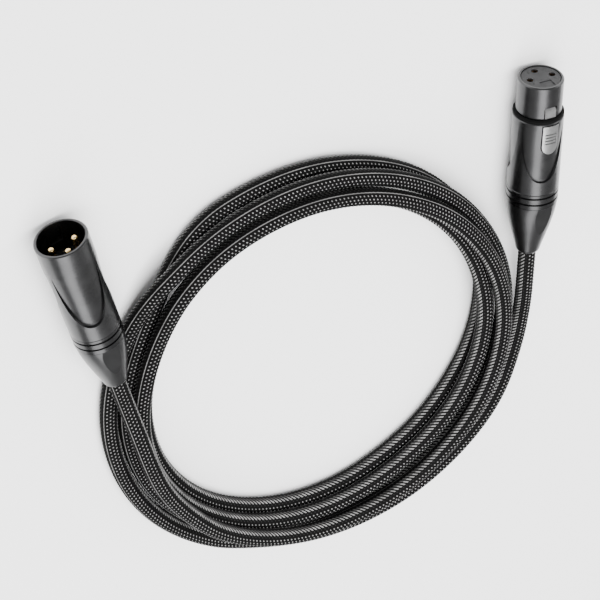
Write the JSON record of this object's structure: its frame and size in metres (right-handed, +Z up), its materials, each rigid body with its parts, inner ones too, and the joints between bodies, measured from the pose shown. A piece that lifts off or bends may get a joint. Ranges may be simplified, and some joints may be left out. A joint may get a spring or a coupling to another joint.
{
  "type": "xlr cable",
  "caption": "Coiled braided microphone cable with a male plug and a latching female plug at its ends, lying flat.",
  "frame": {"origin": "on the surface the cable lies on, under the middle of its box", "axes": "+Z up, the male plug points along -Y, +X towards the male plug's side of the coil"},
  "size_m": [0.1991, 0.2044, 0.0212],
  "materials": {
    "male_shell_metal": "glossy gunmetal",
    "female_shell_metal": "glossy gunmetal",
    "nose_metal": "satin gunmetal",
    "male_collar_metal": "glossy gunmetal",
    "boot_grip": "satin dark grey",
    "black_insert": "matte black",
    "grey_insert": "matte dark grey",
    "pin_gold": "polished gold plate",
    "socket_gold": "dull gold plate",
    "seal_rubber": "matte",
    "latch_metal": "satin silver",
    "spring_steel": "drawn wire",
    "collet_plastic": "matte",
    "jacket": "matte",
    "braid": "woven black with light grey tracer yarns",
    "wire_shield": "matte",
    "wire_red": "matte",
    "wire_white": "matte"
  },
  "bodies": {
    "cable": {"male_shell": "male_shell_metal", "male_insert": "black_insert", "male_pin_1": "pin_gold", "male_pin_2": "pin_gold", "male_pin_3": "pin_gold", "male_collar": "male_collar_metal", "male_boot": "boot_grip", "male_chuck": "collet_plastic", "male_jacket_end": "jacket", "male_wire_1": "wire_shield", "male_wire_2": "wire_red", "male_wire_3": "wire_white", "female_shell": "female_shell_metal", "female_nose": "nose_metal", "female_insert": "grey_insert", "female_socket_1": "socket_gold", "female_socket_2": "socket_gold", "female_socket_3": "socket_gold", "female_seal_ring": "seal_rubber", "female_latch_spring": "spring_steel", "female_collar": "male_collar_metal", "female_boot": "boot_grip", "female_chuck": "collet_plastic", "female_jacket_end": "jacket", "female_wire_1": "wire_shield", "female_wire_2": "wire_red", "female_wire_3": "wire_white", "male_tail": "braid", "female_tail": "braid", "cable_coil": "braid"},
    "latch": {"female_latch": "latch_metal"}
  },
  "joints": [
    {"name": "latch_press", "type": "slide", "parent": "cable", "child": "latch", "axis": [0, 0, -1], "range_m": [0, 0.0012], "stiffness_N_per_m": 800, "deforming": ["female_latch_spring"]}
  ]
}
